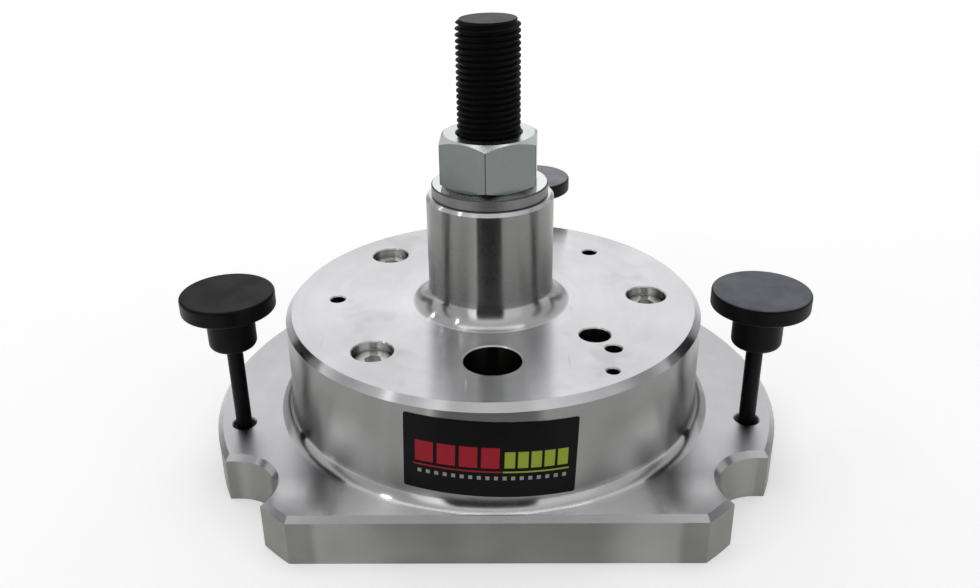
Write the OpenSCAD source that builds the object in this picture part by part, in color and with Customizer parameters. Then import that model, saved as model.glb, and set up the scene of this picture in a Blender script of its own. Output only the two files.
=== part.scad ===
// Crankshaft seal puller: a turned steel bell with a drawing spindle.
// The nut on the hub draws the spindle and its disc up into the bell, which presses the seal home.
// Three knob screws hold the seal carrier against the underside of the plate.
// Origin: spindle axis at the underside of the plate. +Z up, the straight edge of the plate faces -Y.
// Millimetres.

/* [Plate] */
// Outer diameter of the plate
plate_d = 153; // [149:0.5:170]
// Thickness of the plate
plate_t = 13.2; // [11:0.1:18]
// Chamfer round the top of the plate
plate_chamfer = 1.4; // [0.4:0.1:2.5]
// Distance from the axis to the straight front edge
front_edge = 58.6; // [57:0.1:64]
// Distance from the axis to the front faces of the side lobes
lobe_front = 33.4; // [30:0.1:38]
// Radius at the inner end of the notches beside the lobes
notch_r = 12; // [8:0.5:12.5]
// Distance from the axis to the inner ends of the notches, measured sideways
notch_inner = 54.3; // [52:0.1:60]

/* [Drum] */
// Diameter of the drum
drum_d = 110.8; // [106:0.1:112]
// Height of the drum's top face above the underside of the plate
drum_top = 41.5; // [38:0.1:50]
// Chamfer round the top of the drum
drum_chamfer = 1.7; // [0.5:0.1:2.5]
// Fillet between the drum and the plate
drum_fillet = 3.5; // [1:0.1:3.6]
// Thickness of the drum's side wall
drum_wall = 9.4; // [8.4:0.1:9.8]
// Thickness of the drum's top wall
roof_t = 11; // [10.9:0.1:11.2]
// Width of the step between the drum's outside and the recess for the sender wheel
recess_land = 2.4; // [0.5:0.1:3.4]
// Depth of that recess
recess_depth = 3; // [1:0.1:4]

/* [Hub] */
// Diameter of the hub
hub_d = 33; // [31:0.5:36]
// Height of the hub above the drum
hub_h = 30.1; // [15:0.1:40]
// Width of the fillet between the hub and the drum
hub_fillet = 4.5; // [1:0.1:5]
// Angle at which that fillet runs out on the drum's top, in degrees
hub_fillet_slope = 15; // [0:5:30]
// Chamfer round the top of the hub
hub_chamfer = 0.8; // [0.2:0.1:1.5]

/* [Nut and washer] */
// Nut width across the flats
nut_af = 24; // [22:0.5:28]
// Nut height
nut_h = 13; // [8:0.5:16]
// Turn of the nut at rest, in degrees
nut_turn = -4.6; // [-30:0.1:30]
// Washer outer diameter
washer_d = 30; // [27:0.5:31]
// Radial clearance of the spindle in the washer
washer_gap = 0.5; // [0.4:0.1:1.5]
// Washer thickness
washer_t = 3; // [2:0.1:4]

/* [Spindle] */
// Outside diameter of the spindle's thread
spindle_d = 16; // [14:0.5:16.5]
// Length of spindle that stands out above the nut
spindle_free = 28; // [26:0.5:50]
// Chamfer on the ends of the spindle
spindle_chamfer = 1; // [0.4:0.1:1.6]

/* [Draw disc] */
// Radial gap between the disc and the cavity
disc_gap = 3; // [1.5:0.1:3.5]
// Thickness of the disc
disc_t = 10; // [9:0.5:10.5]
// Height of the disc's underside above the plate's underside at rest
disc_lift = 12.5; // [12.2:0.1:12.8]
// Thickness of the disc under the foot of the spindle
disc_floor = 3; // [2:0.5:6]
// Diameter of the boss round the spindle
disc_boss_d = 28; // [26:0.5:34]
// Height of that boss
disc_boss_h = 4.5; // [4:0.1:4.8]
// Diameter of the pin through the boss and the spindle
cross_pin_d = 2.5; // [2:0.5:3]
// How far the pin's ends lie inside the boss
cross_pin_sink = 0.5; // [0.2:0.1:2]

/* [Crank bolts] */
// Radius of the circle that the two bolts stand on
crank_circle_r = 34.6; // [34:0.1:35.5]
// Thread diameter
crank_bolt_d = 8; // [6:0.5:9]
// Length under the head
crank_bolt_l = 16; // [12:0.5:16.2]
// Diameter of the head
crank_head_d = 13; // [12:0.5:13.5]
// Height of the head
crank_head_h = 8; // [6:0.5:8.5]
// Diameter of the waist between the head and the thread
crank_waist_d = 6.6; // [5:0.1:7]
// Width of the hexagon socket in the head
crank_key = 6; // [4:0.5:7]
// Depth that the head sinks into the disc
crank_sink = 6; // [4:0.5:7]
// Diameter of the access holes above the bolts
access_d = 14.3; // [14.1:0.1:15]

/* [Guide hole] */
// Diameter of the hole for a guide pin
guide_d = 7.7; // [5:0.1:8.5]
// Radius at which it lies
guide_r = 34.05; // [33:0.05:35]
// Angle at which it lies, in degrees from +X
guide_angle = -41; // [-44:0.5:-36]

/* [Stop ring] */
// Inside diameter of the ring under the drum's top wall
stop_ring_bore = 50; // [42:0.5:51]
// Thickness of the ring
stop_ring_t = 4.5; // [4:0.1:4.7]
// Distance from the cavity's wall in to the circle of its screws and dowels
fastener_inset = 4.3; // [4:0.1:5.5]
// Thread diameter of the screws
ring_screw_d = 6; // [4:0.5:6]
// Diameter of the screw heads
ring_head_d = 10; // [8.5:0.1:10.2]
// Height of the screw heads
ring_head_h = 4; // [3.5:0.1:4.4]
// Width of the hexagon sockets
ring_key = 4; // [3:0.5:5]
// Diameter of the counterbores
counterbore_d = 10.4; // [10.3:0.1:11]
// Depth of the counterbores
counterbore_depth = 6.4; // [5.8:0.1:7]
// Diameter of the dowel pins
dowel_d = 4; // [2.5:0.5:4.5]
// Depth of the dowels below the drum's top face
dowel_depth = 5.5; // [2:0.5:8]

/* [Locating pin] */
// Diameter of the pin that places the sender wheel
locating_d = 3; // [2:0.5:3.5]
// Length of the pin
locating_l = 12; // [8:0.5:24]
// Distance from the wall of the recess in to the pin
locating_inset = 3.9; // [3:0.1:4.2]
// Angle at which it stands, in degrees from +X
locating_angle = -55.2; // [-62:0.2:-50]
// How far its tip stays above the underside of the plate
locating_rise = 0.6; // [0.2:0.1:0.9]

/* [Knob screws] */
// Distance from the plate's rim in to the circle that the three screws stand on
screw_inset = 7.2; // [6:0.1:7.4]
// Angle of the side screws, in degrees in front of the X axis
side_angle = 14.7; // [8:0.1:16]
// Angle of the rear screw, in degrees from +X
rear_angle = 78.1; // [60:0.1:110]
// Bore for each screw in the plate
screw_bore_d = 6.2; // [6.1:0.02:6.2]
// Thread diameter
thread_d = 6; // [5.9:0.02:6.08]
// Length of thread
thread_l = 8; // [5:0.5:8.5]
// Diameter of the relieved shank
shank_d = 4.2; // [3.6:0.1:4.6]
// Length under the knob
screw_l = 35; // [34:0.5:45]
// Height of the left knob's boss above the plate
lift_left = 24; // [23:0.1:25]
// Height of the right knob's boss above the plate
lift_right = 22.5; // [22:0.1:25]
// Height of the rear knob's boss above the plate
lift_rear = 23.9; // [23:0.1:25]
// Diameter of the knob
knob_d = 24.2; // [20:0.1:26]
// Thickness of the knob
knob_t = 4.5; // [3:0.1:6]
// Rounding of the knob's edges
knob_round = 0.7; // [0.2:0.1:1.2]
// Diameter of the boss under the knob
knob_boss_d = 12.4; // [9:0.1:14]
// Height of that boss
knob_boss_h = 10.7; // [8:0.1:14]
// Rounding of the boss's lower edge
knob_boss_round = 1.6; // [0.4:0.1:2]
// Thickness of the rubber ring on each shank
drag_ring_t = 0.9; // [0.7:0.05:0.94]
// Height of the collar above the ring
drag_collar = 1; // [0.6:0.1:1.5]

/* [Label] */
// Width of the label, measured straight across
label_w = 40; // [20:0.5:50]
// Height of the label
label_h = 20.2; // [10:0.1:20.6]
// Height of its middle above the underside of the plate
label_middle = 27.2; // [27:0.1:29]
// Turn of the label about the drum's axis, in degrees
label_swing = -1.1; // [-30:0.1:30]
// Tilt of the label on the drum, in degrees
label_tilt = 2; // [-5:0.1:5]
// Thickness of the label
label_t = 0.2; // [0.1:0.05:0.4]
// Radius of its corners
label_corner = 0.5; // [0.3:0.1:3]

/* [Hidden] */
$fn = 96;

// Overlap that lets one cut run cleanly into another
cut = 0.5;
// Radial clearance of the spindle in the hub and the nut
running_gap = 0.05;
// Clearance between faces that seat on each other and move
seat_gap = 0.02;
// Radial clearance of pins, threads and rings that are fixed in their holes
fixed_gap = 0.02;
// Radial clearance of the crank bolts in the disc
bolt_gap = 0.2;
// Break on the edges of holes and screw heads
edge_break = 0.3;
// Spare height in the groove of each rubber ring
groove_play = 0.3;
// Height by which the crank bolts' threads stop short of the disc
thread_gap = 0.5;

cavity_d = drum_d - 2 * drum_wall;
recess_d = drum_d - 2 * recess_land;
disc_d = cavity_d - 2 * disc_gap;
fastener_circle_r = cavity_d / 2 - fastener_inset;
locating_r = recess_d / 2 - locating_inset;
screw_circle_r = plate_d / 2 - screw_inset;

roof_underside = drum_top - roof_t;
hub_top = drum_top + hub_h;
washer_top = hub_top + washer_t;
washer_bore = spindle_d + 2 * washer_gap;
nut_bottom = washer_top + seat_gap;
nut_top = nut_bottom + nut_h;
spindle_top = nut_top + spindle_free;
disc_top = disc_lift + disc_t;
spindle_foot = disc_lift + disc_floor;
crank_seat = disc_top - crank_sink;
ring_bottom = roof_underside - stop_ring_t;
ring_screw_seat = drum_top - counterbore_depth;
notch_x = notch_inner + notch_r;
notch_y = -lobe_front - notch_r;
cross_pin_z = disc_top + disc_boss_h / 2;
cross_pin_l = disc_boss_d - 2 * cross_pin_sink;
drag_groove = drag_ring_t + groove_play;
ring_screw_angles = [0, 135, 225];
dowel_angles = [180, 45, 315];
crank_angles = [270, 90];
screw_angles = [180 + side_angle, -side_angle, rear_angle];

// Places its children at a radius and an angle round the spindle axis
module polar(radius, angle) {
    rotate([0, 0, angle])
        translate([radius, 0, 0])
            children();
}

// Cut that takes a chamfer off an edge along +X whose corner lies on the X axis
module edge_cut(length, chamfer) {
    side = chamfer * sqrt(2);
    rotate([45, 0, 0])
        translate([0, -side / 2, -side / 2])
            cube([length, side, side]);
}

// Round cut from height low to height high, with its upper edge broken
module hole(d, low, high, edge = edge_break) {
    translate([0, 0, low - cut])
        cylinder(d = d, h = high - low + 2 * cut);
    translate([0, 0, high - edge])
        cylinder(d1 = d, d2 = d + 2 * (edge + cut), h = edge + cut);
}

// Half section of a round step with a chamfer on its upper rim
module step_section(r, low, high, chamfer) {
    polygon([[0, low], [r, low], [r, high - chamfer], [r - chamfer, high], [0, high]]);
}

// Half section of the concave fillet in the corner at radius r and height z
module fillet_section(r, z, width, slope = 0) {
    radius = width / (1 - sin(slope));
    height = radius * cos(slope);
    difference() {
        translate([r - cut, z - cut])
            square([width + cut, height + cut]);
        translate([r + radius, z + height])
            circle(radius);
    }
}

module bell_section() {
    step_section(plate_d / 2, 0, plate_t, plate_chamfer);
    step_section(drum_d / 2, 0, drum_top, drum_chamfer);
    step_section(hub_d / 2, 0, hub_top, hub_chamfer);
    fillet_section(drum_d / 2, plate_t, drum_fillet);
    fillet_section(hub_d / 2, drum_top, hub_fillet, hub_fillet_slope);
}

// Notch in front of the right lobe, open to the rim
module notch_cut() {
    reach = plate_d / 2;
    translate([notch_x, notch_y, -cut])
        cylinder(r = notch_r, h = plate_t + 2 * cut);
    translate([notch_x, notch_y - notch_r, -cut])
        cube([reach, 2 * notch_r, plate_t + 2 * cut]);
    translate([notch_x, notch_y, plate_t - plate_chamfer])
        cylinder(r1 = notch_r, r2 = notch_r + plate_chamfer + cut, h = plate_chamfer + cut);
    translate([notch_x, -lobe_front, plate_t])
        edge_cut(reach, plate_chamfer);
}

module plate_cuts() {
    translate([-plate_d, -front_edge - plate_d, -cut])
        cube([2 * plate_d, plate_d, plate_t + drum_fillet + cut]);
    translate([-plate_d / 2, -front_edge, plate_t])
        edge_cut(plate_d, plate_chamfer);
    notch_cut();
    mirror([1, 0, 0])
        notch_cut();
    for (angle = screw_angles)
        polar(screw_circle_r, angle)
            hole(screw_bore_d, 0, plate_t);
}

module roof_holes() {
    for (angle = ring_screw_angles)
        polar(fastener_circle_r, angle) {
            hole(counterbore_d, ring_screw_seat + cut, drum_top);
            translate([0, 0, roof_underside - cut])
                cylinder(d = ring_screw_d + 2 * bolt_gap, h = counterbore_depth + roof_t);
        }
    for (angle = dowel_angles)
        polar(fastener_circle_r, angle)
            hole(dowel_d + 2 * fixed_gap, roof_underside, drum_top);
    for (angle = crank_angles)
        polar(crank_circle_r, angle)
            hole(access_d, roof_underside, drum_top);
    polar(guide_r, guide_angle)
        hole(guide_d, roof_underside, drum_top);
}

module bell_housing() {
    color([0.76, 0.76, 0.76])
        difference() {
            rotate_extrude($fn = 180)
                bell_section();
            plate_cuts();
            roof_holes();
            translate([0, 0, -cut])
                cylinder(d = recess_d, h = recess_depth + cut);
            cylinder(d = cavity_d, h = roof_underside);
            hole(spindle_d + 2 * running_gap, roof_underside, hub_top);
            polar(locating_r, locating_angle)
                hole(locating_d + 2 * fixed_gap, recess_depth, drum_top);
        }
}

module stop_ring() {
    color([0.62, 0.62, 0.64])
        translate([0, 0, ring_bottom])
            difference() {
                cylinder(d = cavity_d - 2 * fixed_gap, h = stop_ring_t);
                translate([0, 0, -cut])
                    cylinder(d = stop_ring_bore, h = stop_ring_t + 2 * cut);
                for (angle = ring_screw_angles)
                    polar(fastener_circle_r, angle)
                        hole(ring_screw_d + 2 * fixed_gap, 0, stop_ring_t);
                for (angle = dowel_angles)
                    polar(fastener_circle_r, angle)
                        hole(dowel_d + 2 * fixed_gap, 0, stop_ring_t);
                for (angle = crank_angles)
                    polar(crank_circle_r, angle)
                        hole(access_d, 0, stop_ring_t);
                polar(guide_r, guide_angle)
                    hole(guide_d, 0, stop_ring_t);
            }
}

// Socket head cap screw: the underside of its head lies at height 0, and a waist may lead to its thread
module cap_screw(d, length, head_d, head_h, key, waist_d = 0, waist_l = 0) {
    difference() {
        union() {
            cylinder(d = head_d, h = head_h - edge_break);
            translate([0, 0, head_h - edge_break])
                cylinder(d1 = head_d, d2 = head_d - 2 * edge_break, h = edge_break);
            translate([0, 0, -waist_l - cut])
                cylinder(d = waist_d == 0 ? d : waist_d, h = waist_l + cut + head_h / 4);
            translate([0, 0, -length + d / 8])
                cylinder(d = d, h = length - waist_l - d / 8);
            translate([0, 0, -length])
                cylinder(d1 = d * 3 / 4, d2 = d, h = d / 8);
        }
        translate([0, 0, head_h / 2])
            cylinder(d = key / cos(30), h = head_h, $fn = 6);
    }
}

module ring_screw(index) {
    color([0.7, 0.7, 0.68])
        polar(fastener_circle_r, ring_screw_angles[index])
            translate([0, 0, ring_screw_seat])
                cap_screw(
                    ring_screw_d, ring_screw_seat - ring_bottom - edge_break,
                    ring_head_d, ring_head_h, ring_key
                );
}

// Plain pin with broken edges that stands on the XY plane
module pin(d, length) {
    cylinder(d1 = d - 2 * edge_break, d2 = d, h = edge_break);
    translate([0, 0, edge_break])
        cylinder(d = d, h = length - 2 * edge_break);
    translate([0, 0, length - edge_break])
        cylinder(d1 = d, d2 = d - 2 * edge_break, h = edge_break);
}

module dowel_pin(index) {
    color([0.7, 0.7, 0.72])
        polar(fastener_circle_r, dowel_angles[index])
            translate([0, 0, ring_bottom])
                pin(dowel_d, drum_top - dowel_depth - ring_bottom);
}

module locating_pin() {
    color([0.7, 0.7, 0.72])
        polar(locating_r, locating_angle)
            translate([0, 0, locating_rise])
                pin(locating_d, locating_l);
}

module thrust_washer() {
    color([0.78, 0.78, 0.76])
        translate([0, 0, hub_top])
            difference() {
                pin(washer_d, washer_t);
                translate([0, 0, -cut])
                    cylinder(d = washer_bore, h = washer_t + 2 * cut);
            }
}

// Hexagon whose corners are turned off by a 30 degree cone at both ends
module hex_nut() {
    corner_r = nut_af / 2 / cos(30);
    run_off = (corner_r - nut_af / 2) * tan(30);
    color([0.66, 0.67, 0.66])
        translate([0, 0, nut_bottom])
            difference() {
                intersection() {
                    rotate([0, 0, 30 + nut_turn])
                        cylinder(r = corner_r, h = nut_h, $fn = 6);
                    union() {
                        cylinder(r1 = nut_af / 2 - cut, r2 = corner_r, h = run_off + cut * tan(30));
                        translate([0, 0, run_off + cut * tan(30)])
                            cylinder(r = corner_r + cut, h = nut_h - 2 * run_off - 2 * cut * tan(30));
                        translate([0, 0, nut_h - run_off - cut * tan(30)])
                            cylinder(r1 = corner_r, r2 = nut_af / 2 - cut, h = run_off + cut * tan(30));
                    }
                }
                hole(spindle_d + 2 * running_gap, 0, nut_h, spindle_chamfer / 2);
            }
}

module spindle() {
    length = spindle_top - spindle_foot;
    color([0.12, 0.12, 0.12])
        difference() {
            translate([0, 0, spindle_foot])
                rotate_extrude()
                    polygon([
                        [0, 0],
                        [spindle_d / 2 - spindle_chamfer, 0],
                        [spindle_d / 2, spindle_chamfer],
                        [spindle_d / 2, length - spindle_chamfer],
                        [spindle_d / 2 - spindle_chamfer, length],
                        [0, length]
                    ]);
            cross_pin_hole();
        }
}

module cross_pin_hole() {
    translate([-disc_boss_d, 0, cross_pin_z])
        rotate([0, 90, 0])
            cylinder(d = cross_pin_d + 2 * fixed_gap, h = 2 * disc_boss_d);
}

module draw_disc() {
    color([0.6, 0.6, 0.62])
        difference() {
            union() {
                translate([0, 0, disc_lift])
                    pin(disc_d, disc_t);
                translate([0, 0, disc_lift])
                    cylinder(d = disc_boss_d, h = disc_t + disc_boss_h);
            }
            translate([0, 0, spindle_foot])
                cylinder(d = spindle_d + 2 * fixed_gap, h = disc_t + disc_boss_h);
            cross_pin_hole();
            for (angle = crank_angles)
                polar(crank_circle_r, angle) {
                    hole(crank_head_d + 4 * bolt_gap, crank_seat + cut, disc_top);
                    translate([0, 0, disc_lift - cut])
                        cylinder(d = crank_bolt_d + 2 * bolt_gap, h = disc_t);
                }
            polar(guide_r, guide_angle)
                hole(guide_d, disc_lift, disc_top);
        }
}

module disc_cross_pin() {
    color([0.7, 0.7, 0.72])
        translate([-cross_pin_l / 2, 0, cross_pin_z])
            rotate([0, 90, 0])
                pin(cross_pin_d, cross_pin_l);
}

module crank_bolt(index) {
    color([0.15, 0.15, 0.15])
        polar(crank_circle_r, crank_angles[index])
            translate([0, 0, crank_seat + seat_gap])
                cap_screw(
                    crank_bolt_d, crank_bolt_l, crank_head_d, crank_head_h, crank_key,
                    crank_waist_d, crank_seat + seat_gap - disc_lift + thread_gap
                );
}

// Half section of a rectangle from the axis out to r, with its upper and lower corners rounded
module rounded_section(r, low, high, round_low, round_high) {
    translate([0, low])
        square([r - round_low, high - low]);
    translate([0, low + round_low])
        square([r - round_high, high - low - round_low]);
    translate([0, low + round_low])
        square([r, high - low - round_low - round_high]);
    translate([r - round_low, low + round_low])
        circle(round_low);
    translate([r - round_high, high - round_high])
        circle(round_high);
}

// Knob screw: the underside of its boss lies at height 0
module knob_screw(index, lift) {
    collar = -screw_l + thread_l + drag_groove;
    end_chamfer = thread_d / 8;
    color([0.1, 0.1, 0.11])
        polar(screw_circle_r, screw_angles[index])
            translate([0, 0, plate_t + lift]) {
                rotate_extrude() {
                    rounded_section(knob_boss_d / 2, 0, knob_boss_h + knob_round, knob_boss_round, 0.01);
                    rounded_section(
                        knob_d / 2, knob_boss_h, knob_boss_h + knob_t, knob_round, knob_round
                    );
                }
                translate([0, 0, -screw_l + end_chamfer])
                    cylinder(d = shank_d, h = screw_l);
                translate([0, 0, -screw_l])
                    cylinder(d1 = shank_d, d2 = thread_d, h = end_chamfer);
                translate([0, 0, -screw_l + end_chamfer])
                    cylinder(d = thread_d, h = thread_l - end_chamfer);
                translate([0, 0, collar])
                    cylinder(d = thread_d, h = drag_collar);
            }
}

// Rubber ring in the groove between the thread and the collar of a knob screw
module drag_ring(index, lift) {
    color([0.05, 0.05, 0.05])
        polar(screw_circle_r, screw_angles[index])
            translate([0, 0, plate_t + lift - screw_l + thread_l + drag_groove / 2])
                rotate_extrude()
                    translate([shank_d / 2 + fixed_gap + drag_ring_t / 2, 0])
                        circle(d = drag_ring_t, $fn = 32);
}

// Flat outline of the label with its corners rounded
module label_outline() {
    inner_w = label_w - 2 * label_corner;
    inner_h = label_h - 2 * label_corner;
    square([label_w, inner_h], center = true);
    square([inner_w, label_h], center = true);
    for (x = [-1, 1], y = [-1, 1])
        translate([x * inner_w / 2, y * inner_h / 2])
            circle(label_corner, $fn = 32);
}

// Thin film wrapped round the front of the drum
module data_label() {
    color([0.05, 0.05, 0.05])
        intersection() {
            difference() {
                cylinder(d = drum_d + 2 * label_t, h = drum_top, $fn = 180);
                translate([0, 0, -cut])
                    cylinder(d = drum_d, h = drum_top + 2 * cut, $fn = 180);
            }
            rotate([0, 0, label_swing])
                translate([0, 0, label_middle])
                    rotate([90, label_tilt, 0])
                        linear_extrude(drum_d)
                            label_outline();
        }
}

bell_housing();
stop_ring();
ring_screw(0);  // ring_screw_right
ring_screw(1);  // ring_screw_rear
ring_screw(2);  // ring_screw_front
dowel_pin(0);  // dowel_pin_left
dowel_pin(1);  // dowel_pin_rear
dowel_pin(2);  // dowel_pin_front
locating_pin();
thrust_washer();
hex_nut();
spindle();
draw_disc();
disc_cross_pin();
crank_bolt(0);  // crank_bolt_front
crank_bolt(1);  // crank_bolt_rear
knob_screw(0, lift_left);  // knob_screw_left
knob_screw(1, lift_right);  // knob_screw_right
knob_screw(2, lift_rear);  // knob_screw_rear
drag_ring(0, lift_left);  // drag_ring_left
drag_ring(1, lift_right);  // drag_ring_right
drag_ring(2, lift_rear);  // drag_ring_rear
data_label();
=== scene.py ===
"""Crankshaft seal puller: camera, light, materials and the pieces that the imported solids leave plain."""

import math
from types import SimpleNamespace

import bmesh
import bpy
from mathutils import Matrix, Vector


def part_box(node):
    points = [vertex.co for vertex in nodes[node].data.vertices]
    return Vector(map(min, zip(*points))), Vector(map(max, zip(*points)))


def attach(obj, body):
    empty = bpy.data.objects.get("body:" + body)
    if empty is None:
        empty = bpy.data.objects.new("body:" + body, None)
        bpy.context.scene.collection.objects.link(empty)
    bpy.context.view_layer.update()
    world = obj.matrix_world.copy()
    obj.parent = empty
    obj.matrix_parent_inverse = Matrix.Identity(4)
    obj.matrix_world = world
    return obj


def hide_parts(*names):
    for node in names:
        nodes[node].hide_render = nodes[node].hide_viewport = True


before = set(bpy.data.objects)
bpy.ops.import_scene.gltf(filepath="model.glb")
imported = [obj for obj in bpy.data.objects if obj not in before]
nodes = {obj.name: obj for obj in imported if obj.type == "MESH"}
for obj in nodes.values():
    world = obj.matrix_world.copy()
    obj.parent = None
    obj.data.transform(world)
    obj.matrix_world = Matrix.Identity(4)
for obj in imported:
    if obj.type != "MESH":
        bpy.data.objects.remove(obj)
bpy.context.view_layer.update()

# Sizes in metres and angles in degrees, the same as in the part's source
PLATE_TOP = 0.0132
DRUM_TOP = 0.0415
DRUM_R = 0.0554
DRUM_FILLET = 0.0035
HUB_R = 0.0165
NUT_CORNER_R = 0.024 / math.sqrt(3)
SPINDLE_R = 0.008
SPINDLE_CHAMFER = 0.001
COUNTERBORE_R = 0.0052
SCREW_CIRCLE_R = 0.0417
SCREW_TURNS = (0, 135, 225)
LABEL_MIDDLE = 0.0272
LABEL_TILT = 2.0

# Axes of the three ring screws in the drum's top
SCREW_AT = [
    (SCREW_CIRCLE_R * math.cos(turn), SCREW_CIRCLE_R * math.sin(turn))
    for turn in map(math.radians, SCREW_TURNS)
]

# The spindle's thread in metres, and the lines of its profile: share of the pitch, depth of the cut
THREAD_PITCH = 0.0015
THREAD_DEPTH = 0.00092
THREAD_PROFILE = ((0.0, 0), (0.125, 0), (0.4375, THREAD_DEPTH), (0.6875, THREAD_DEPTH))
THREAD_SIDES = 72

# The spindle's plain foot below the thread, inside the disc
FOOT_LENGTH = 0.016
FOOT_R = SPINDLE_R - THREAD_DEPTH / 3

# The camera that was fitted to the photograph: metres, radians, and pixels of the 980 x 588 image
IMAGE_W = 980
IMAGE_H = 588
FOCAL_PX = 990.70
CENTRE_PX = (437.74, 294.47)
CAMERA_AT = (-0.001838, -0.241923, 0.159141)
CAMERA_YAW = -0.05173
CAMERA_PITCH = 0.44880
CAMERA_ROLL = -0.03684
SENSOR_MM = 36

# Colours of the housing, a single number being a grey: lit and shaded tones of one steel, with painted
# highlights and painted shade among them, and real stains
PLATE_FACE_LIT = (0.57, 0.57, 0.585)
# Painted highlight on the plate's front strip
PLATE_FRONT_HIGHLIGHT = (0.86, 0.86, 0.87)
PLATE_WALL_SHADE = (0.38, 0.38, 0.36)
DRUM_FACE_LIT = (0.72, 0.72, 0.735)
DRUM_WALL_SHADE = (0.27, 0.27, 0.262)
# Painted highlight on the drum wall's low front sides
DRUM_SIDE_HIGHLIGHT = (0.55, 0.55, 0.54)
# Painted shade in the bores through the drum
BORE_SHADE = (0.07, 0.07, 0.066)
COVE = 0.58
# Painted shade on the plate beside the drum's foot
FOOT_SHADE = 0.18
STAIN = (0.55, 0.54, 0.55)
# Painted light on the counterbores' walls, and painted shade at their left and right ends
COUNTERBORE_WALL_LIGHT = (0.88, 0.88, 0.86)
COUNTERBORE_END_SHADE = 0.10
# Painted shade round the rims of the ring screws' heads
SCREW_RIM_SHADE = 0.06

# Roughness of the housing, where the front is the plate's front strip
PLATE_WALL_ROUGH = 0.42
PLATE_FACE_ROUGH = 0.22
FRONT_ROUGH = 0.42
FRONT_ENDS_ROUGH = 0.18
HUB_WALL_ROUGH = 0.26
DRUM_WALL_ROUGH = 0.22
DRUM_FACE_ROUGH = 0.24
COVE_ROUGH = 0.16

# Where the housing's finish and its painted light and shade change, in metres: four steps of a band, or where
# a mask is empty and full
SIDE_HIGHLIGHT_X = (0.022, 0.034, 0.0415, 0.0440)
SIDE_HIGHLIGHT_Y = (0, -0.010)
SIDE_HIGHLIGHT_Z = (0.034, 0.021)
FRONT_Y = (-0.040, -0.050)
FRONT_ENDS_X = (0.034, 0.039)
FOOT_SHADE_X = (0.0525, 0.0545)
BORES_R = (0.0218, 0.0222, 0.052, 0.053)
HUB_TO_DRUM_R = (0.022, 0.026)
COUNTERBORE_END_SHADE_X = (0.0030, 0.0046)
SCREW_RIM_SHADE_R = (0.0034, 0.0048)

# Colours of the other pieces
# Lit tones of the plating's level faces: painted light
PLATING_LIT_DARK = (0.60, 0.62, 0.615)
PLATING_LIT_BRIGHT = (0.72, 0.74, 0.735)
# Painted shade along the nut's corners
CORNER_SHADE = (0.03, 0.032, 0.03)
# Painted shade on the washer's rim
WASHER_RIM_SHADE = 0.02
OXIDE = 0.003
OXIDE_HAZE = (0.008, 0.0075, 0.007)
OXIDE_SPECKS = (0.03, 0.029, 0.028)
# Painted light on the black oxide's upward faces
OXIDE_TOP_LIGHT = (0.12, 0.122, 0.12)
KNOB_SIDE = (0.002, 0.002, 0.0024)
RUBBER_DARK = 0.012
RUBBER_PALE = 0.03
FILM_DARK = 0.003
FILM_PALE = 0.007
PRINT_RED = (0.40, 0.022, 0.035)
PRINT_GREEN = (0.36, 0.46, 0.05)
PRINT_PALE = 0.35

# The label's print in metres from its middle: where each row ends, and how high the two rules lie
RED_ENDS = (-0.0187, 0.0016)
GREEN_ENDS = (0.0020, 0.0172)
SMALL_ENDS = (-0.0182, 0.0172)
RULE_MIDDLE = -0.0032
RULE_TALL = 0.0004

# The floor, and what it shows to reflections alone, by compass angle: a painted dark band and a painted
# bright line that glows, both painted reflections
FLOOR_DARK = 0.93
FLOOR_PALE = 0.95
FLOOR_GLOW = 0.34
DARK_BAND_GREY = 0.03
DARK_BAND_FROM = (0.10, 0.12)
DARK_BAND_MIDDLE = math.radians(-2.2)
DARK_BAND_WIDTH = math.radians(43)
DARK_BAND_SOFT = 0.03
# Painted highlight: a line of the floor that glows for reflections alone
BRIGHT_LINE_GLOW = 0.9
BRIGHT_LINE_MIDDLE = math.radians(-25.6)
BRIGHT_LINE_WIDTH = math.radians(2.6)
BRIGHT_LINE_SOFT = 0.01

# Greys round the studio by share of a turn: 0 is behind the object, 0.25 left, 0.5 in front, 0.75 right
STUDIO_RING = (
    (0.000, 0.76), (0.024, 0.60), (0.046, 0.70), (0.062, 0.42), (0.130, 0.36), (0.145, 0.14), (0.168, 0.14),
    (0.178, 0.33), (0.235, 0.36), (0.245, 0.10), (0.262, 0.10), (0.275, 0.30), (0.380, 0.30),
    (0.388, 0.60), (0.425, 0.90), (0.434, 0.02), (0.554, 0.02), (0.566, 0.52), (0.640, 0.48),
    (0.660, 0.38), (0.720, 0.34), (0.740, 0.10), (0.762, 0.10), (0.775, 0.30), (0.822, 0.33),
    (0.832, 0.14), (0.850, 0.14), (0.860, 0.36), (0.915, 0.42), (0.930, 0.46), (0.956, 0.48), (0.970, 0.76),
)
STUDIO_HORIZON = (
    (0.000, 0.70), (0.030, 0.60), (0.045, 0.36), (0.080, 0.30), (0.095, 0.10), (0.168, 0.10), (0.180, 0.60),
    (0.820, 0.60), (0.832, 0.10), (0.905, 0.10), (0.920, 0.30), (0.955, 0.36), (0.970, 0.60), (1.000, 0.70),
)
RING_LIGHT = 1.6
FRONT_HORIZON = 0.9
DOME = 0.55
PANEL = 0.98
BACKDROP = 0.86

# Where the studio's parts begin, by how far a direction points up (Z) or back (Y)
WALLS_Z = (0.18, 0.28)
DOME_Z = (0.64, 0.78)
PANEL_Z = (0.74, 0.84)
PANEL_Y = (-0.35, -0.5)
HORIZON_Y = (-0.2, 0.2)


# Camera

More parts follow.
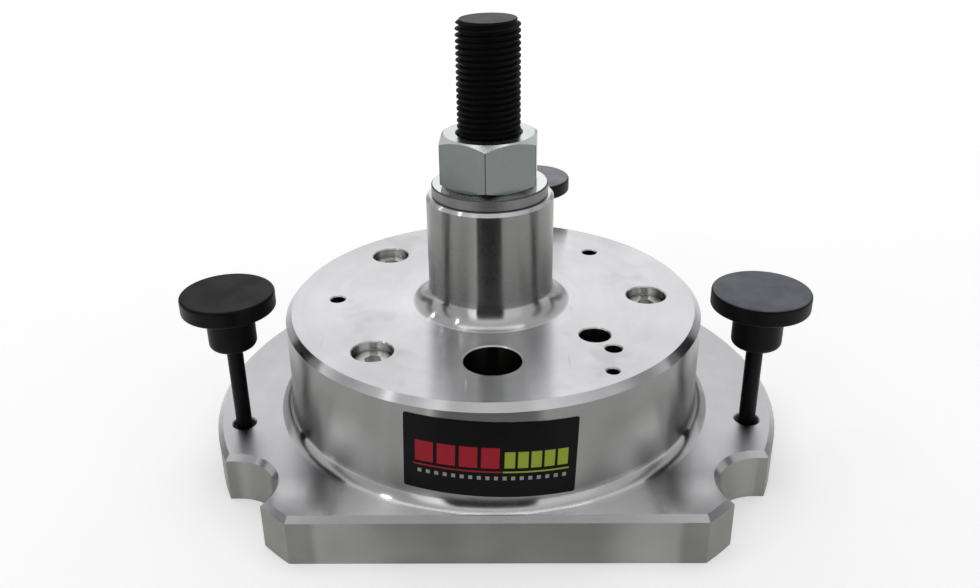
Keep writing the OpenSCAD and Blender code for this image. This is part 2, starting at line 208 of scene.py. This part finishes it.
def camera_matrix(yaw, pitch, roll, place):
    """Looks along +Y, turned by yaw to the right, tipped down by pitch and rolled."""
    ahead = math.cos(pitch)
    forward = Vector((math.sin(yaw) * ahead, math.cos(yaw) * ahead, -math.sin(pitch)))
    side = Vector((math.cos(yaw), -math.sin(yaw), 0))
    up = side.cross(forward)
    right = side * math.cos(roll) + up * math.sin(roll)
    top = up * math.cos(roll) - side * math.sin(roll)
    matrix = Matrix((right, top, -forward)).transposed().to_4x4()
    matrix.translation = place
    return matrix


def make_camera():
    data = bpy.data.cameras.new("camera")
    data.sensor_width = SENSOR_MM
    data.lens = SENSOR_MM * FOCAL_PX / IMAGE_W
    data.shift_x = (IMAGE_W / 2 - CENTRE_PX[0]) / IMAGE_W
    data.shift_y = (CENTRE_PX[1] - IMAGE_H / 2) / IMAGE_W
    data.clip_start, data.clip_end = 0.01, 20
    camera = bpy.data.objects.new("camera", data)
    camera.matrix_world = camera_matrix(CAMERA_YAW, CAMERA_PITCH, CAMERA_ROLL, CAMERA_AT)
    bpy.context.scene.collection.objects.link(camera)
    bpy.context.scene.camera = camera


# Node helpers

def node(tree, kind, values=None, **settings):
    """Adds a shader node; a value that is a socket is linked, and any other is set."""
    made = tree.nodes.new("ShaderNode" + kind)
    for key, value in settings.items():
        setattr(made, key, value)
    for key, value in (values or {}).items():
        put(tree, made.inputs[key], value)
    return made


def put(tree, socket, value):
    if isinstance(value, bpy.types.NodeSocket):
        tree.links.new(value, socket)
    else:
        socket.default_value = value


def channels(colour):
    """A colour's four channels, from three or from a grey; a socket stays as it is."""
    if isinstance(colour, bpy.types.NodeSocket):
        return colour
    return (*colour, 1) if isinstance(colour, tuple) else (colour, colour, colour, 1)


def calc(tree, operation, *values):
    """Math node with the given values; returns its result."""
    return node(tree, "Math", dict(enumerate(values)), operation=operation).outputs[0]


def times(tree, first, *others):
    """Product of all the values."""
    for other in others:
        first = calc(tree, "MULTIPLY", first, other)
    return first


def weighted(tree, a, share_a, b, share_b):
    """Sum of two values, each times its share."""
    return calc(tree, "MULTIPLY_ADD", a, share_a, calc(tree, "MULTIPLY", b, share_b))


def outside(tree, mask):
    """The mask turned round: 1 where it was 0."""
    return calc(tree, "SUBTRACT", 1, mask)


def ramp(tree, factor, stops):
    """Colour ramp through (place, grey) stops; returns its colour."""
    made = node(tree, "ValToRGB", {"Fac": factor})
    elements = made.color_ramp.elements
    while len(elements) < len(stops):
        elements.new(1)
    for element, (place, grey) in zip(elements, stops):
        element.position = place
        element.color = channels(grey)
    return made.outputs["Color"]


def remap(tree, value, low, high, to_low, to_high, smooth=True):
    """Carries the range low to high over to another one, and stops at its ends."""
    kind = "SMOOTHSTEP" if smooth else "LINEAR"
    values = {"Value": value, "From Min": low, "From Max": high, "To Min": to_low, "To Max": to_high}
    return node(tree, "MapRange", values, interpolation_type=kind).outputs["Result"]


def fade(tree, value, empty, full, share=1):
    """Soft mask: 0 up to one value and the whole share from the other on, whichever of them is greater."""
    return remap(tree, value, empty, full, 0, share)


def band(tree, value, *steps):
    """Soft mask over four rising values: 0 up to the first, 1 between the inner two, 0 from the last on."""
    empty_low, full_low, full_high, empty_high = steps
    return times(tree, fade(tree, value, empty_low, full_low), fade(tree, value, empty_high, full_high))


def mix(tree, factor, a, b):
    """Blend of two colours; returns the colour."""
    return node(tree, "Mix", {0: factor, 6: channels(a), 7: channels(b)}, data_type="RGBA").outputs[2]


def mix_value(tree, factor, a, b):
    """Blend of two values."""
    return node(tree, "Mix", {0: factor, 2: a, 3: b}, data_type="FLOAT").outputs[0]


def noise(tree, where, scale, detail=3.0, roughness=0.55, dimensions="3D"):
    values = {"Scale": scale, "Detail": detail, "Roughness": roughness}
    made = node(tree, "TexNoise", values, noise_dimensions=dimensions)
    put(tree, made.inputs["W" if dimensions == "1D" else "Vector"], where)
    return made.outputs[0]


def bump(tree, height, strength, distance):
    values = {"Height": height, "Strength": strength, "Distance": distance}
    return node(tree, "Bump", values).outputs["Normal"]


def stretched(tree, point, scale, rotation=(0, 0, 0)):
    """The point's coordinates, stretched by axis and then turned."""
    return node(tree, "Mapping", {"Vector": point, "Scale": scale, "Rotation": rotation}).outputs[0]


def material(name, **constants):
    """Empty material with its shader; returns the material, its tree and the shader's inputs."""
    made = bpy.data.materials.new(name)
    made.use_nodes = True
    shader = made.node_tree.nodes["Principled BSDF"]
    for key, value in constants.items():
        shader.inputs[key.replace("_", " ")].default_value = value
    return made, made.node_tree, shader.inputs


def surface(tree):
    """The shaded point in object coordinates, whole and by axis, and how far its surface faces up."""
    coordinates = node(tree, "TexCoord").outputs
    x, y, z = node(tree, "SeparateXYZ", {"Vector": coordinates["Object"]}).outputs
    up = node(tree, "SeparateXYZ", {"Vector": coordinates["Normal"]}).outputs["Z"]
    return SimpleNamespace(point=coordinates["Object"], x=x, y=y, z=z, up=up)


def from_axis(tree, at, centre=(0, 0)):
    """Distance from an upright axis."""
    aside = calc(tree, "SUBTRACT", at.x, centre[0])
    ahead = calc(tree, "SUBTRACT", at.y, centre[1])
    return calc(tree, "SQRT", calc(tree, "ADD", times(tree, aside, aside), times(tree, ahead, ahead)))


def compass(tree, x, y):
    """Angle round the upright axis: 0 in front and positive to the right."""
    return calc(tree, "ARCTAN2", x, times(tree, y, -1))


def stripe(tree, value, middle, width, soft=0.00006):
    """1 within a band about middle, 0 outside it."""
    gap = calc(tree, "ABSOLUTE", calc(tree, "SUBTRACT", value, middle))
    return remap(tree, gap, width / 2 - soft, width / 2 + soft, 1, 0, smooth=False)


# Steels

def machining(tree, point, along):
    """Noises of a machined surface: fine rings and broad bands along one way, smudges and stray scratches."""
    rings = noise(tree, along, 2600, 2, 0.7, "1D")
    bands = noise(tree, along, 330, 3, 0.6, "1D")
    smudges = noise(tree, point, 38, 4, 0.6)
    streaks = noise(tree, stretched(tree, point, (900, 60, 60), (0.3, 0.2, 0.5)), 1, 3, 0.5)
    return rings, bands, smudges, fade(tree, streaks, 0.68, 0.78)


def turned_steel(name, colour, shade, roughness, marks, head_rim_shade=0.0):
    """Turned metal: lathe grooves, smudges and scratches, and painted shade round the rims of the ring
    screws' heads.
    """
    made, tree, inputs = material(name, Metallic=1.0)
    at = surface(tree)
    flat = fade(tree, calc(tree, "ABSOLUTE", at.up), 0.5, 0.9)
    along = mix_value(tree, flat, at.z, from_axis(tree, at))
    rings, bands, smudges, scratches = machining(tree, at.point, along)
    tone = mix(tree, weighted(tree, bands, 0.35, smudges, 0.65), shade, colour)
    # Painted shade: the heads of the ring screws darken towards their rims, down in the counterbores
    if head_rim_shade:
        nearest = 1.0
        for centre in SCREW_AT:
            nearest = calc(tree, "MINIMUM", nearest, from_axis(tree, at, centre))
        tone = mix(tree, fade(tree, nearest, *SCREW_RIM_SHADE_R, head_rim_shade), tone, SCREW_RIM_SHADE)
    put(tree, inputs["Base Color"], tone)
    clouded = remap(tree, smudges, 0.3, 0.75, roughness * 0.75, roughness * 1.35)
    put(tree, inputs["Roughness"], calc(tree, "MULTIPLY_ADD", scratches, 0.08, clouded))
    put(tree, inputs["Normal"], bump(tree, weighted(tree, bands, 0.5, rings, 0.5), marks, 0.00002))
    return made


def groove_direction(tree, at):
    """Direction of the turning grooves, round the spindle's axis."""
    round_axis = node(tree, "CombineXYZ", {0: times(tree, at.y, -1), 1: at.x})
    turned = node(
        tree, "VectorTransform", {0: round_axis.outputs[0]}, convert_from="OBJECT", convert_to="WORLD",
    )
    return node(tree, "VectorMath", {0: turned.outputs[0]}, operation="NORMALIZE").outputs[0]


def bell_coves(tree, at, radius):
    """Mask of the two rounded feet: the drum's on the plate, and the hub's on the drum."""
    foot = times(
        tree,
        fade(tree, radius, DRUM_R + 0.0001, DRUM_R + 0.0003),
        fade(tree, at.z, PLATE_TOP + 0.00004, PLATE_TOP + 0.0003),
    )
    neck = times(
        tree,
        band(tree, radius, HUB_R + 0.0001, HUB_R + 0.0003, HUB_R + 0.0060, HUB_R + 0.0065),
        fade(tree, at.z, DRUM_TOP + 0.00004, DRUM_TOP + 0.0003),
    )
    return calc(tree, "MAXIMUM", foot, neck)


def bell_foot_shade(tree, at, radius):
    """Mask of the painted shade on the plate: dark crescents to the left and right of the drum's foot."""
    outer = DRUM_R + DRUM_FILLET
    return times(
        tree,
        band(tree, radius, DRUM_R + 0.0001, DRUM_R + 0.0003, outer - 0.0003, outer),
        fade(tree, calc(tree, "ABSOLUTE", at.x), *FOOT_SHADE_X, 0.6),
        fade(tree, at.z, PLATE_TOP - 0.001, PLATE_TOP - 0.0001),
    )


def bell_walls(tree, at, radius, drum):
    """Colour of the walls, all painted light and shade: plate and drum walls in painted shade, a painted
    highlight on the drum's low front sides, counterbores painted light with painted shade at their ends, and
    bores painted dark as shade.
    """
    # Painted highlight: the drum wall is lighter low down on its front sides
    side_highlight = times(
        tree,
        band(tree, calc(tree, "ABSOLUTE", at.x), *SIDE_HIGHLIGHT_X),
        fade(tree, at.z, *SIDE_HIGHLIGHT_Z),
        fade(tree, at.y, *SIDE_HIGHLIGHT_Y),
        fade(tree, radius, DRUM_R - 0.0009, DRUM_R - 0.0004),
    )
    # Painted light and shade in the counterbores: pale walls, darkened at their left and right ends
    counterbores, ends = 0.0, 0.0
    for centre in SCREW_AT:
        one = fade(tree, from_axis(tree, at, centre), COUNTERBORE_R + 0.0008, COUNTERBORE_R + 0.0004)
        sideways = calc(tree, "ABSOLUTE", calc(tree, "SUBTRACT", at.x, centre[0]))
        counterbores = calc(tree, "MAXIMUM", counterbores, one)
        ends = calc(tree, "MAXIMUM", ends, times(tree, one, fade(tree, sideways, *COUNTERBORE_END_SHADE_X, 0.8)))
    counterbores = times(tree, counterbores, drum)
    # Painted shade: the walls of the bores through the drum are near black
    bores = times(
        tree,
        band(tree, radius, *BORES_R),
        fade(tree, at.z, DRUM_TOP - 0.0002, DRUM_TOP - 0.0006),
        outside(tree, counterbores),
        drum,
    )
    # Painted shade: the walls get darker tones of the same steel than the faces
    walls = mix(tree, drum, PLATE_WALL_SHADE, DRUM_WALL_SHADE)
    walls = mix(tree, side_highlight, walls, DRUM_SIDE_HIGHLIGHT)
    walls = mix(tree, counterbores, walls, mix(tree, ends, COUNTERBORE_WALL_LIGHT, COUNTERBORE_END_SHADE))
    return mix(tree, bores, walls, BORE_SHADE)


def bell_roughness(tree, at, radius, flat, drum, front):
    """Roughness of the housing without its coves: the plate's front strip is smoother towards its ends."""
    strip = remap(tree, calc(tree, "ABSOLUTE", at.x), *FRONT_ENDS_X, FRONT_ROUGH, FRONT_ENDS_ROUGH)
    plate = mix_value(tree, flat, PLATE_WALL_ROUGH, mix_value(tree, front, PLATE_FACE_ROUGH, strip))
    round_walls = remap(tree, radius, *HUB_TO_DRUM_R, HUB_WALL_ROUGH, DRUM_WALL_ROUGH)
    return mix_value(tree, drum, plate, mix_value(tree, flat, round_walls, DRUM_FACE_ROUGH))


def bell_steel():
    """Turned steel of the housing, in tones of one steel: faces painted bright as lit, round walls painted
    grey as shaded, and a milled plate that is greyer and duller.
    """
    made, tree, inputs = material(
        "bell_turned_steel", Metallic=1.0, Anisotropic=1.0, Anisotropic_Rotation=0.25,
    )
    at = surface(tree)
    radius = from_axis(tree, at)
    level = calc(tree, "ABSOLUTE", at.up)
    # Masks of the level faces, the plate's front strip, all that stands on the plate, and the rounded feet
    flat = fade(tree, level, 0.6, 0.69)
    front = times(tree, fade(tree, level, 0.8, 0.9), fade(tree, at.y, *FRONT_Y))
    drum = fade(tree, at.z, PLATE_TOP + 0.0002, PLATE_TOP + 0.002)
    coves = bell_coves(tree, at, radius)
    rings, bands, smudges, scratches = machining(tree, at.point, mix_value(tree, flat, at.z, radius))

    # Painted light and shade: level faces in lit tones, walls in shaded tones, and the coves in a lit tone of
    # their own
    tone = mix(tree, flat, bell_walls(tree, at, radius, drum), mix(tree, drum, PLATE_FACE_LIT, DRUM_FACE_LIT))
    tone = mix(tree, coves, tone, COVE)
    # Painted shade: dark crescents on the plate beside the drum's foot
    tone = mix(tree, times(tree, bell_foot_shade(tree, at, radius), flat), tone, FOOT_SHADE)
    stains = fade(tree, noise(tree, at.point, 55, 3, 0.5), 0.56, 0.68, 0.5)
    tone = mix(tree, times(tree, stains, flat), tone, STAIN)
    # Painted highlight: the plate's front strip is much lighter than its other faces
    tone = mix(tree, times(tree, front, outside(tree, drum)), tone, PLATE_FRONT_HIGHLIGHT)
    worn = remap(tree, weighted(tree, bands, 0.15, smudges, 0.85), 0.3, 0.7, 0.9, 1.06, smooth=False)
    tone = node(tree, "VectorMath", {0: tone, "Scale": worn}, operation="SCALE").outputs[0]
    put(tree, inputs["Base Color"], tone)

    plain = mix_value(tree, coves, bell_roughness(tree, at, radius, flat, drum, front), COVE_ROUGH)
    wipes = noise(tree, stretched(tree, at.point, (60, 14, 60)), 1, 4, 0.6)
    wiped = times(tree, plain, remap(tree, wipes, 0.3, 0.7, 0.88, 1.15, smooth=False))
    put(tree, inputs["Roughness"], calc(tree, "MULTIPLY_ADD", scratches, 0.06, wiped))
    put(tree, inputs["Normal"], bump(tree, weighted(tree, bands, 0.15, rings, 0.6), 0.15, 0.00002))
    put(tree, inputs["Tangent"], groove_direction(tree, at))
    return made


def plated_steel(name, shaded_side, side_gloss, level_gloss, corner_r=0.0, rim_shade=0.0):
    """Zinc plating, in tones of one plating: level faces painted bright as lit, sides painted darker as
    shaded, and where asked painted shade along a nut's corners and round a washer's rim.
    """
    made, tree, inputs = material(name, Metallic=1.0)
    at = surface(tree)
    facing = calc(tree, "ABSOLUTE", at.up)
    level = fade(tree, facing, 0.72, 0.86)
    beside = outside(tree, level)
    cloud = noise(tree, at.point, 160, 4, 0.6)
    side = mix(tree, cloud, tuple(0.86 * part for part in shaded_side), tuple(1.14 * part for part in shaded_side))
    # Painted light and shade: the level faces get lit tones and the sides shaded tones of the same plating
    tone = mix(tree, level, side, mix(tree, cloud, PLATING_LIT_DARK, PLATING_LIT_BRIGHT))
    # Painted shade: a dark line along the nut's corners
    if corner_r:
        corners = fade(tree, from_axis(tree, at), corner_r - 0.00012, corner_r - 0.00004, 0.8)
        tone = mix(tree, times(tree, corners, beside), tone, CORNER_SHADE)
    # Painted shade: the washer's sloping rim is darkened
    if rim_shade:
        rim = fade(tree, facing, 0.3, 0.5, rim_shade)
        tone = mix(tree, times(tree, rim, beside), tone, WASHER_RIM_SHADE)
    put(tree, inputs["Base Color"], tone)
    side_rough = remap(tree, cloud, 0.3, 0.7, *side_gloss)
    level_rough = remap(tree, cloud, 0.3, 0.7, *level_gloss)
    put(tree, inputs["Roughness"], mix_value(tree, level, side_rough, level_rough))
    put(tree, inputs["Normal"], bump(tree, noise(tree, at.point, 2400, 2, 0.6), 0.06, 0.00002))
    return made


# Black and printed materials

def black_oxide():
    """Oiled black oxide: cloudy brown-black, with worn brighter specks, and painted light on the faces that
    point up, which are paler.
    """
    made, tree, inputs = material("black_oxide", Metallic=0.0, Specular_IOR_Level=0.08)
    at = surface(tree)
    cloud = noise(tree, at.point, 220, 4, 0.6)
    specks = fade(tree, noise(tree, at.point, 2600, 2, 0.6), 0.62, 0.75, 0.35)
    tone = mix(tree, cloud, OXIDE, OXIDE_HAZE)
    tone = mix(tree, specks, tone, OXIDE_SPECKS)
    # Painted light: faces that point up are paler
    tone = mix(tree, fade(tree, at.up, 0.93, 0.98), tone, OXIDE_TOP_LIGHT)
    put(tree, inputs["Base Color"], tone)
    put(tree, inputs["Roughness"], remap(tree, cloud, 0.3, 0.7, 0.4675, 0.66))
    put(tree, inputs["Normal"], bump(tree, noise(tree, at.point, 3200, 3, 0.6), 0.25, 0.00003))
    return made


def knob_black(name, top_sheen):
    """Satin black knob: very dark sides, and a painted sheen on the upper faces, grey and cloudy, as bright
    as each knob is given.
    """
    made, tree, inputs = material(name, Metallic=0.0, Specular_IOR_Level=0.12)
    at = surface(tree)
    cloud = noise(tree, at.point, 130, 4, 0.6)
    # Painted sheen: the upper faces are lighter, by the grey given for each knob
    film = times(tree, fade(tree, at.up, 0.6, 0.98), remap(tree, cloud, 0.25, 0.75, 0.55, 1))
    put(tree, inputs["Base Color"], mix(tree, film, KNOB_SIDE, top_sheen))
    put(tree, inputs["Roughness"], remap(tree, cloud, 0.3, 0.7, 0.34, 0.46))
    put(tree, inputs["Normal"], bump(tree, noise(tree, at.point, 2800, 3, 0.65), 0.2, 0.00004))
    return made


def dull_rubber():
    made, tree, inputs = material("nitrile_rubber", Metallic=0.0, Specular_IOR_Level=0.3)
    cloud = noise(tree, node(tree, "TexCoord").outputs["Object"], 900, 4, 0.6)
    put(tree, inputs["Base Color"], mix(tree, cloud, RUBBER_DARK, RUBBER_PALE))
    put(tree, inputs["Roughness"], remap(tree, cloud, 0.3, 0.7, 0.6, 0.8))
    put(tree, inputs["Normal"], bump(tree, cloud, 0.3, 0.00005))
    return made


def rule(tree, across, height, ends, middle=RULE_MIDDLE, tall=RULE_TALL):
    """1 within a level bar, 0 outside it."""
    low, high = ends
    long = stripe(tree, across, (low + high) / 2, high - low)
    return times(tree, long, stripe(tree, height, middle, tall))


def blocks(tree, across, height, ends, count, width, middle, tall):
    """1 within a row of equal blocks, 0 outside them."""
    low, high = ends
    pitch = (high - low) / count
    shifted = calc(tree, "SUBTRACT", across, low + pitch / 2)
    row = stripe(tree, calc(tree, "PINGPONG", shifted, pitch / 2), 0, width)
    return times(tree, row, rule(tree, across, height, ends, middle, tall))


def label_film():
    """Black film printed with red and green blocks, a rule under each, and a row of small pale marks."""
    made, tree, inputs = material("label_film", Metallic=0.0, Specular_IOR_Level=0.08)
    point = node(tree, "TexCoord").outputs["Object"]
    lowered = node(tree, "VectorMath", {0: point, 1: (0, 0, LABEL_MIDDLE)}, operation="SUBTRACT").outputs[0]
    upright = stretched(tree, lowered, (1, 1, 1), (0, math.radians(-LABEL_TILT), 0))
    split = node(tree, "SeparateXYZ", {"Vector": upright}).outputs
    across, height = split["X"], split["Z"]
    red = blocks(tree, across, height, RED_ENDS, count=4, width=0.0042, middle=0.0006, tall=0.0056)
    green = blocks(tree, across, height, GREEN_ENDS, count=5, width=0.0024, middle=0.0001, tall=0.0044)
    small = blocks(tree, across, height, SMALL_ENDS, count=18, width=0.0009, middle=-0.0049, tall=0.0010)
    all_red = calc(tree, "MAXIMUM", red, rule(tree, across, height, RED_ENDS))
    all_green = calc(tree, "MAXIMUM", green, rule(tree, across, height, GREEN_ENDS))
    cloud = noise(tree, point, 240, 4, 0.6)
    tone = mix(tree, cloud, FILM_DARK, FILM_PALE)
    for print_mask, colour in ((all_red, PRINT_RED), (all_green, PRINT_GREEN), (small, PRINT_PALE)):
        tone = mix(tree, print_mask, tone, colour)
    put(tree, inputs["Base Color"], tone)
    put(tree, inputs["Roughness"], remap(tree, cloud, 0.3, 0.7, 0.28, 0.42))
    put(tree, inputs["Normal"], bump(tree, noise(tree, point, 1500, 2, 0.5), 0.06, 0.00003))
    return made


def paint(made, *names):
    """Gives one material to the named solids."""
    for name in names:
        data = nodes[name].data
        data.materials.clear()
        data.materials.append(made)


# Pieces

def add_piece(mesh, name):
    data = bpy.data.meshes.new(name)
    mesh.to_mesh(data)
    mesh.free()
    piece = bpy.data.objects.new(name, data)
    bpy.context.scene.collection.objects.link(piece)
    return piece


def thread_point(side, height, depth, top):
    """Point of the thread on one of the spindle's sides, kept between both ends and inside the chamfer."""
    height = min(max(height, 0), top)
    radius = SPINDLE_R - max(depth, SPINDLE_CHAMFER - (top - height))
    angle = 2 * math.pi * side / THREAD_SIDES
    return radius * math.cos(angle), radius * math.sin(angle), height


def threaded_spindle():
    """The spindle with its thread cut as a real helix, and a plain foot inside the disc."""
    low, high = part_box("spindle")
    start = low.z + FOOT_LENGTH
    top = high.z - start
    mesh = bmesh.new()
    rows = []
    for turn in range(-1, math.ceil(top / THREAD_PITCH) + 1):
        for rise, depth in THREAD_PROFILE:
            heights = [THREAD_PITCH * (turn + rise + side / THREAD_SIDES) for side in range(THREAD_SIDES)]
            points = [thread_point(side, height, depth, top) for side, height in enumerate(heights)]
            rows.append([mesh.verts.new(point) for point in points])
    # After one turn the helix has climbed by one profile, so a row's last side joins that much higher
    lead = len(THREAD_PROFILE)
    for index, (row, above) in enumerate(zip(rows, rows[1:])):
        for side in range(THREAD_SIDES - 1):
            mesh.faces.new((row[side], row[side + 1], above[side + 1], above[side]))
        if index + 1 + lead < len(rows):
            mesh.faces.new((row[-1], rows[index + lead][0], rows[index + lead + 1][0], above[-1]))
    bmesh.ops.translate(mesh, verts=mesh.verts, vec=(0, 0, start))
    bmesh.ops.remove_doubles(mesh, verts=mesh.verts, dist=1e-6)
    bmesh.ops.dissolve_degenerate(mesh, edges=mesh.edges, dist=1e-7)
    close_ends(mesh, low.z)
    piece = add_piece(mesh, "threaded_spindle")
    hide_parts("spindle")
    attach(piece, "spindle")
    return piece


def close_ends(mesh, bottom):
    """Caps the thread's upper end, and carries its lower end down to the bottom as a plain foot."""
    rims = [edge for edge in mesh.edges if edge.is_boundary]
    middle = sum(edge.verts[0].co.z for edge in rims) / len(rims)
    bmesh.ops.contextual_create(mesh, geom=[edge for edge in rims if edge.verts[0].co.z > middle])
    lower = [edge for edge in rims if edge.verts[0].co.z <= middle]
    edges, verts = extrude_rim(mesh, lower)
    for vert in verts:
        vert.co = Vector((*vert.co.xy.normalized() * FOOT_R, vert.co.z))
    edges, verts = extrude_rim(mesh, edges)
    for vert in verts:
        vert.co.z = bottom
    bmesh.ops.contextual_create(mesh, geom=edges)
    bmesh.ops.recalc_face_normals(mesh, faces=mesh.faces)


def extrude_rim(mesh, edges):
    """Adds a ring of faces along a rim; returns the edges and points of the new rim."""
    grown = bmesh.ops.extrude_edge_only(mesh, edges=edges)["geom"]
    new_edges = [item for item in grown if isinstance(item, bmesh.types.BMEdge)]
    return new_edges, [item for item in grown if isinstance(item, bmesh.types.BMVert)]


# Floor and light

def make_floor():
    """Pale floor, bright to the camera and in reflections, with a painted dark band and a painted bright line
    that only reflections show.
    """
    mesh = bmesh.new()
    bmesh.ops.create_grid(mesh, x_segments=8, y_segments=8, size=4)
    floor = add_piece(mesh, "floor")
    made, tree, inputs = material("pale_floor", Metallic=0.0, Specular_IOR_Level=0.2)
    at = surface(tree)
    seen = node(tree, "LightPath").outputs
    angle = compass(tree, at.x, at.y)
    # Painted reflection: beyond the object, in front, reflections see a dark band on the floor
    beyond = times(tree, fade(tree, from_axis(tree, at), *DARK_BAND_FROM), seen["Is Glossy Ray"])
    dark_band = times(tree, stripe(tree, angle, DARK_BAND_MIDDLE, DARK_BAND_WIDTH, DARK_BAND_SOFT), beyond)
    # Painted highlight: a line of the floor that reflections see glowing
    edge = times(tree, stripe(tree, angle, BRIGHT_LINE_MIDDLE, BRIGHT_LINE_WIDTH, BRIGHT_LINE_SOFT), beyond)
    pale = mix(tree, noise(tree, at.point, 30), FLOOR_DARK, FLOOR_PALE)
    put(tree, inputs["Base Color"], mix(tree, dark_band, pale, DARK_BAND_GREY))
    put(tree, inputs["Roughness"], remap(tree, noise(tree, at.point, 60), 0.3, 0.7, 0.7, 0.8))
    shown = calc(tree, "MAXIMUM", seen["Is Camera Ray"], seen["Is Glossy Ray"])
    # The floor glows evenly for the camera and reflections, less the painted dark band, and the painted
    # bright line glows for reflections alone
    glow = weighted(tree, calc(tree, "SUBTRACT", shown, dark_band), FLOOR_GLOW, edge, BRIGHT_LINE_GLOW)
    inputs["Emission Color"].default_value = (1, 1, 1, 1)
    put(tree, inputs["Emission Strength"], glow)
    floor.data.materials.append(made)


def make_world():
    """A studio: a bright sweep behind the object, a greyer room in front, and dark gaps between them."""
    world = bpy.data.worlds.new("studio")
    world.use_nodes = True
    tree = world.node_tree
    x, y, z = node(tree, "SeparateXYZ", {"Vector": node(tree, "TexCoord").outputs["Generated"]}).outputs
    share = calc(tree, "MULTIPLY_ADD", compass(tree, x, y), 1 / (2 * math.pi), 0.5)
    ring = times(tree, ramp(tree, share, STUDIO_RING), RING_LIGHT)
    horizon = ramp(tree, share, STUDIO_HORIZON)
    low = mix_value(tree, fade(tree, y, *HORIZON_Y), times(tree, ring, FRONT_HORIZON), horizon)
    walls = mix_value(tree, fade(tree, z, *WALLS_Z), low, ring)
    dome = mix_value(tree, fade(tree, z, *DOME_Z), walls, DOME)
    panel = times(tree, fade(tree, y, *PANEL_Y), fade(tree, z, *PANEL_Z))
    grey = mix_value(tree, panel, dome, PANEL)
    shown = mix_value(tree, node(tree, "LightPath").outputs["Is Camera Ray"], grey, BACKDROP)
    colour = node(tree, "CombineColor", {0: shown, 1: shown, 2: times(tree, shown, 1.01)})
    background = tree.nodes["Background"]
    put(tree, background.inputs["Color"], colour.outputs[0])
    background.inputs["Strength"].default_value = 1.0
    bpy.context.scene.world = world


def add_lamp(name, kind, place, power):
    """Lamp at a place; returns its object, whose data holds the rest."""
    lamp = bpy.data.objects.new(name, bpy.data.lights.new(name, kind))
    lamp.data.energy = power
    lamp.location = place
    bpy.context.scene.collection.objects.link(lamp)
    return lamp


def make_downlight(name, place, reach, soft, radius, power):
    """Round lamp that looks straight down at a disc of the floor, soft over the end of its radius."""
    outer, inner = math.atan(reach / place[2]), math.atan((reach - soft) / place[2])
    data = add_lamp(name, "SPOT", place, power).data
    data.spot_size, data.shadow_soft_size = 2 * outer, radius
    data.spot_blend = (math.cos(inner) - math.cos(outer)) / (1 - math.cos(outer))


def make_window(name, azimuth, elevation, distance, size, power):
    """Square lamp that faces the object from a compass direction; azimuth 0 is in front, 90 to the right."""
    turn, lift = math.radians(azimuth), math.radians(elevation)
    level = math.cos(lift)
    away = Vector((math.sin(turn) * level, -math.cos(turn) * level, math.sin(lift)))
    lamp = add_lamp(name, "AREA", away * distance, power)
    lamp.data.size = size
    lamp.rotation_mode = "QUATERNION"
    lamp.rotation_quaternion = away.to_track_quat("Z", "Y")


make_camera()
make_floor()
make_world()
make_downlight("downlight", place=(0, 0.8, 1.9), reach=0.90, soft=0.07, radius=1.0, power=45)
make_window("window_left", azimuth=-82, elevation=58, distance=1.2, size=0.05, power=0.3)
make_window("window_rear", azimuth=-126, elevation=42, distance=1.4, size=0.05, power=0.35)

ground = turned_steel("ground_steel", (0.6, 0.6, 0.61), (0.42, 0.42, 0.43), roughness=0.26, marks=0.3)
screws = turned_steel(
    "screw_steel", (0.86, 0.85, 0.83), (0.60, 0.59, 0.57),
    roughness=0.42, marks=0.8, head_rim_shade=0.5,
)
nut_plating = plated_steel(
    "nut_plating", (0.215, 0.231, 0.223),
    side_gloss=(0.2, 0.32), level_gloss=(0.2, 0.32), corner_r=NUT_CORNER_R,
)
washer_plating = plated_steel(
    "washer_plating", (0.25, 0.255, 0.245),
    side_gloss=(0.42, 0.54), level_gloss=(0.10, 0.16), rim_shade=0.6,
)
oxide = black_oxide()

paint(bell_steel(), "bell_housing")
paint(ground, "stop_ring", "draw_disc", "disc_cross_pin", "locating_pin")
paint(ground, "dowel_pin_left", "dowel_pin_rear", "dowel_pin_front")
paint(screws, "ring_screw_right", "ring_screw_rear", "ring_screw_front")
paint(nut_plating, "hex_nut")
paint(washer_plating, "thrust_washer")
paint(oxide, "crank_bolt_front", "crank_bolt_rear")
# Painted sheen on the knobs' tops: a different grey for each knob
paint(knob_black("knob_black", (0.002, 0.002, 0.004)), "knob_screw_left")
paint(knob_black("knob_black_mid_sheen", (0.170, 0.178, 0.208)), "knob_screw_right")
paint(knob_black("knob_black_high_sheen", (0.33, 0.32, 0.35)), "knob_screw_rear")
paint(dull_rubber(), "drag_ring_left", "drag_ring_right", "drag_ring_rear")
paint(label_film(), "data_label")
threaded_spindle().data.materials.append(oxide)

bpy.context.scene.view_settings.view_transform = "Standard"
